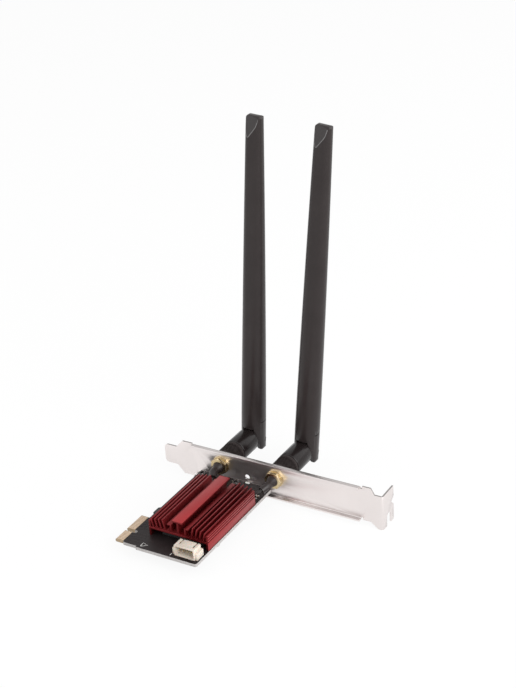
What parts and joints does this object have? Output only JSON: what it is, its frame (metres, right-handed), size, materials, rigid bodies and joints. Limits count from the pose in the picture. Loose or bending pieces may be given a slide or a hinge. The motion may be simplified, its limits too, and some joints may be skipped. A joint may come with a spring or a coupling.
{
  "type": "wireless network card",
  "caption": "Wireless network expansion card with a slot bracket, a finned red heat sink over its radio module, and black swivelling blade antennas screwed to coaxial jacks.",
  "frame": {"origin": "centre of the key notch in the card edge, on the line of the contact tips, at half the board's thickness", "axes": "+X leads out of the slot along the bracket to its screw tab, +Y leads along the board to the bracket and the antennas, +Z is the component side of the board"},
  "size_m": [0.12, 0.1075, 0.1829],
  "materials": {
    "board_mask": "black solder mask, satin",
    "gold_plate": "gold plated",
    "bright_plate": "bright nickel plated sheet steel",
    "screw_steel": "bright plated steel",
    "red_anodised": "red anodised extrusion, satin",
    "pale_nylon": "off-white nylon",
    "black_plastic": "black satin moulded plastic",
    "ring_plastic": "black knurled plastic",
    "black_sleeve": "black shrink sleeve",
    "cable_jacket": "black cable jacket",
    "chip_body": "moulded chip",
    "tinned": "tinned",
    "white_resin": "white fluoropolymer",
    "pad_grey": "soft grey pad",
    "ferrite": "dark ferrite"
  },
  "bodies": {
    "card": {"board": "board_mask", "upper_contacts": "gold_plate", "lower_contacts": "gold_plate", "bracket": "bright_plate", "board_screws": "screw_steel", "heat_sink": "red_anodised", "heat_sink_screws": "screw_steel", "module_board": "board_mask", "module_shield": "tinned", "thermal_pad": "pad_grey", "module_socket": "chip_body", "module_standoff": "gold_plate", "module_screw": "screw_steel", "header_housing": "pale_nylon", "header_pins": "gold_plate", "chip_capacitors": "tinned", "regulator": "chip_body", "inductor": "ferrite", "indicator": "white_resin", "left_jack": "gold_plate", "left_jack_washer": "gold_plate", "left_jack_nut": "gold_plate", "left_jack_insulator": "white_resin", "left_jack_contact": "gold_plate", "left_pigtail_cable": "cable_jacket", "left_pigtail_sleeve": "black_sleeve", "left_pigtail_plug": "gold_plate", "left_connector_core": "gold_plate", "right_jack": "gold_plate", "right_jack_washer": "gold_plate", "right_jack_nut": "gold_plate", "right_jack_insulator": "white_resin", "right_jack_contact": "gold_plate", "right_pigtail_cable": "cable_jacket", "right_pigtail_sleeve": "black_sleeve", "right_pigtail_plug": "gold_plate", "right_connector_core": "gold_plate"},
    "left_ring": {"left_coupling_ring": "ring_plastic"},
    "left_swivel": {"left_knuckle": "black_plastic"},
    "left_antenna": {"left_yoke": "black_plastic", "left_hinge_pin": "black_plastic", "left_blade": "black_plastic", "left_radiator": "gold_plate"},
    "right_ring": {"right_coupling_ring": "ring_plastic"},
    "right_swivel": {"right_knuckle": "black_plastic"},
    "right_antenna": {"right_yoke": "black_plastic", "right_hinge_pin": "black_plastic", "right_blade": "black_plastic", "right_radiator": "gold_plate"}
  },
  "joints": [
    {"name": "left_ring_turn", "type": "hinge", "parent": "card", "child": "left_ring", "pos_m": [0.01655, 0.06711, 0.0068], "axis": [0, 1, 0], "continuous": true},
    {"name": "left_swivel_turn", "type": "hinge", "parent": "card", "child": "left_swivel", "pos_m": [0.01655, 0.08, 0.0068], "axis": [0, -1, 0], "range_deg": [-3, 180]},
    {"name": "left_tilt", "type": "hinge", "parent": "left_swivel", "child": "left_antenna", "pos_m": [0.01644, 0.09266, 0.0052], "axis": [-0.9976, 0, 0.0698], "range_deg": [0, 90]},
    {"name": "right_ring_turn", "type": "hinge", "parent": "card", "child": "right_ring", "pos_m": [0.04675, 0.06711, 0.0068], "axis": [0, 1, 0], "continuous": true},
    {"name": "right_swivel_turn", "type": "hinge", "parent": "card", "child": "right_swivel", "pos_m": [0.04675, 0.08, 0.0068], "axis": [0, 1, 0], "range_deg": [-3, 180]},
    {"name": "right_tilt", "type": "hinge", "parent": "right_swivel", "child": "right_antenna", "pos_m": [0.04659, 0.09266, 0.00521], "axis": [-0.9951, 0, 0.0993], "range_deg": [0, 90]}
  ]
}
